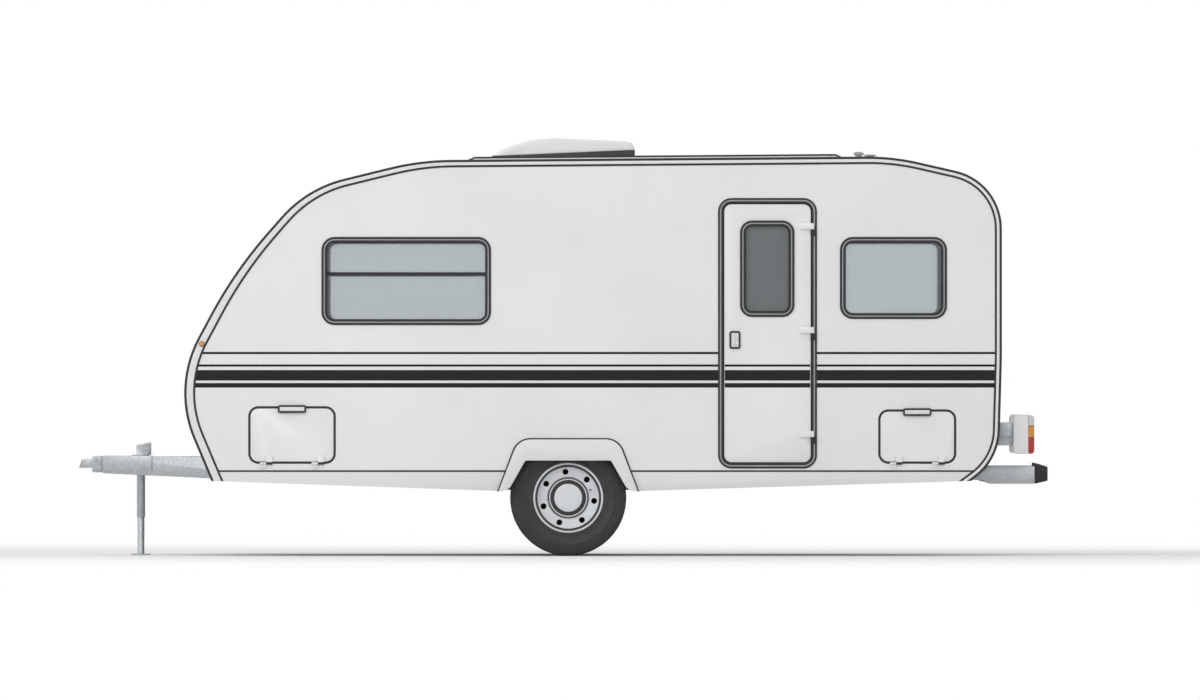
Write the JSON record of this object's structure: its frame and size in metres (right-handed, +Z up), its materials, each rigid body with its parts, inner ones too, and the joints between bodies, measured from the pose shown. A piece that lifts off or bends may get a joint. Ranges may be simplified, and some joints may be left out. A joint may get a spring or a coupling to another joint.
{
  "type": "travel caravan",
  "caption": "Single-axle travel caravan with a rounded nose, hinged door and hatches, roof cooler, A-frame drawbar and a screw jack, parked level on its wheels and jack.",
  "frame": {"origin": "on the ground, below the middle of the overall box", "axes": "+X backwards from the coupling to the tail, -Y the door side, +Z up"},
  "size_m": [6.224, 2.296, 2.6819],
  "materials": {
    "white_panel": "gloss",
    "white_trim": "gloss",
    "trim_alloy": "satin",
    "black_rubber": "matte",
    "black_plastic": "matte",
    "grey_plastic": "matte",
    "galvanised": "satin",
    "dark_steel": "satin",
    "wheel_steel": "gloss",
    "chrome": "polished",
    "tyre": "matte",
    "tinted_glass": "gloss",
    "red_lens": "gloss",
    "amber_lens": "gloss",
    "floor_board": "satin",
    "cabinet_board": "satin",
    "bedding": "matte",
    "upholstery": "matte"
  },
  "bodies": {
    "chassis": {"chassis_rails": "galvanised", "cross_members": "galvanised", "drawbar_rails": "galvanised", "drawbar_gusset": "galvanised", "coupling": "galvanised", "jack_body": "galvanised", "axle_beam": "dark_steel", "corner_steadies": "galvanised", "water_tank": "black_plastic", "floor": "floor_board", "side_wall_left": "white_panel", "side_wall_right": "white_panel", "front_panel": "white_panel", "roof_panel": "white_panel", "rear_panel": "white_panel", "edge_trims": "trim_alloy", "side_skirts": "white_trim", "wheel_arches": "white_trim", "wheel_boxes": "grey_plastic", "door_frame": "black_rubber", "hatch_frames": "black_rubber", "hinge_brackets": "chrome", "window_seals": "black_rubber", "window_panes": "tinted_glass", "fridge_vents": "white_trim", "marker_lamps": "amber_lens", "roof_deck": "white_trim", "air_conditioner_base": "black_plastic", "air_conditioner_shroud": "white_trim", "roof_vents": "white_trim", "lamp_brackets": "galvanised", "lamp_housings": "black_plastic", "lamp_lenses": "red_lens", "rear_bumper": "galvanised", "bumper_caps": "black_rubber", "bed_base": "cabinet_board", "mattress": "bedding", "side_cupboard": "cabinet_board", "wardrobe": "cabinet_board", "kitchen_unit": "cabinet_board", "bench_boxes": "cabinet_board", "bench_cushions": "upholstery", "table": "cabinet_board"},
    "wheel_left": {"tyre_left": "tyre", "rim_left": "wheel_steel", "hub_left": "chrome"},
    "wheel_right": {"tyre_right": "tyre", "rim_right": "wheel_steel", "hub_right": "chrome"},
    "door": {"door_leaf": "white_panel", "door_window_seal": "black_rubber", "door_pane": "tinted_glass", "door_handle": "black_plastic"},
    "front_hatch": {"front_hatch": "white_panel", "front_hatch_latch": "grey_plastic"},
    "rear_hatch": {"rear_hatch": "white_panel", "rear_hatch_latch": "grey_plastic"},
    "jack_leg": {"jack_leg": "galvanised"}
  },
  "joints": [
    {"name": "left_wheel_spin", "type": "hinge", "parent": "chassis", "child": "wheel_left", "pos_m": [0.038, -0.972, 0.372], "axis": [0, 1, 0], "continuous": true},
    {"name": "right_wheel_spin", "type": "hinge", "parent": "chassis", "child": "wheel_right", "pos_m": [0.038, 0.972, 0.372], "axis": [0, 1, 0], "continuous": true},
    {"name": "door_hinge", "type": "hinge", "parent": "chassis", "child": "door", "pos_m": [1.603, -1.14, 1.425], "axis": [0, 0, 1], "range_deg": [0, 165]},
    {"name": "front_hatch_hinge", "type": "hinge", "parent": "chassis", "child": "front_hatch", "pos_m": [-1.7295, -1.134, 0.5925], "axis": [1, 0, 0], "range_deg": [0, 165]},
    {"name": "rear_hatch_hinge", "type": "hinge", "parent": "chassis", "child": "rear_hatch", "pos_m": [2.272, -1.134, 0.5925], "axis": [1, 0, 0], "range_deg": [0, 165]},
    {"name": "jack_slide", "type": "slide", "parent": "chassis", "child": "jack_leg", "axis": [0, 0, 1], "range_m": [0, 0.23]}
  ]
}
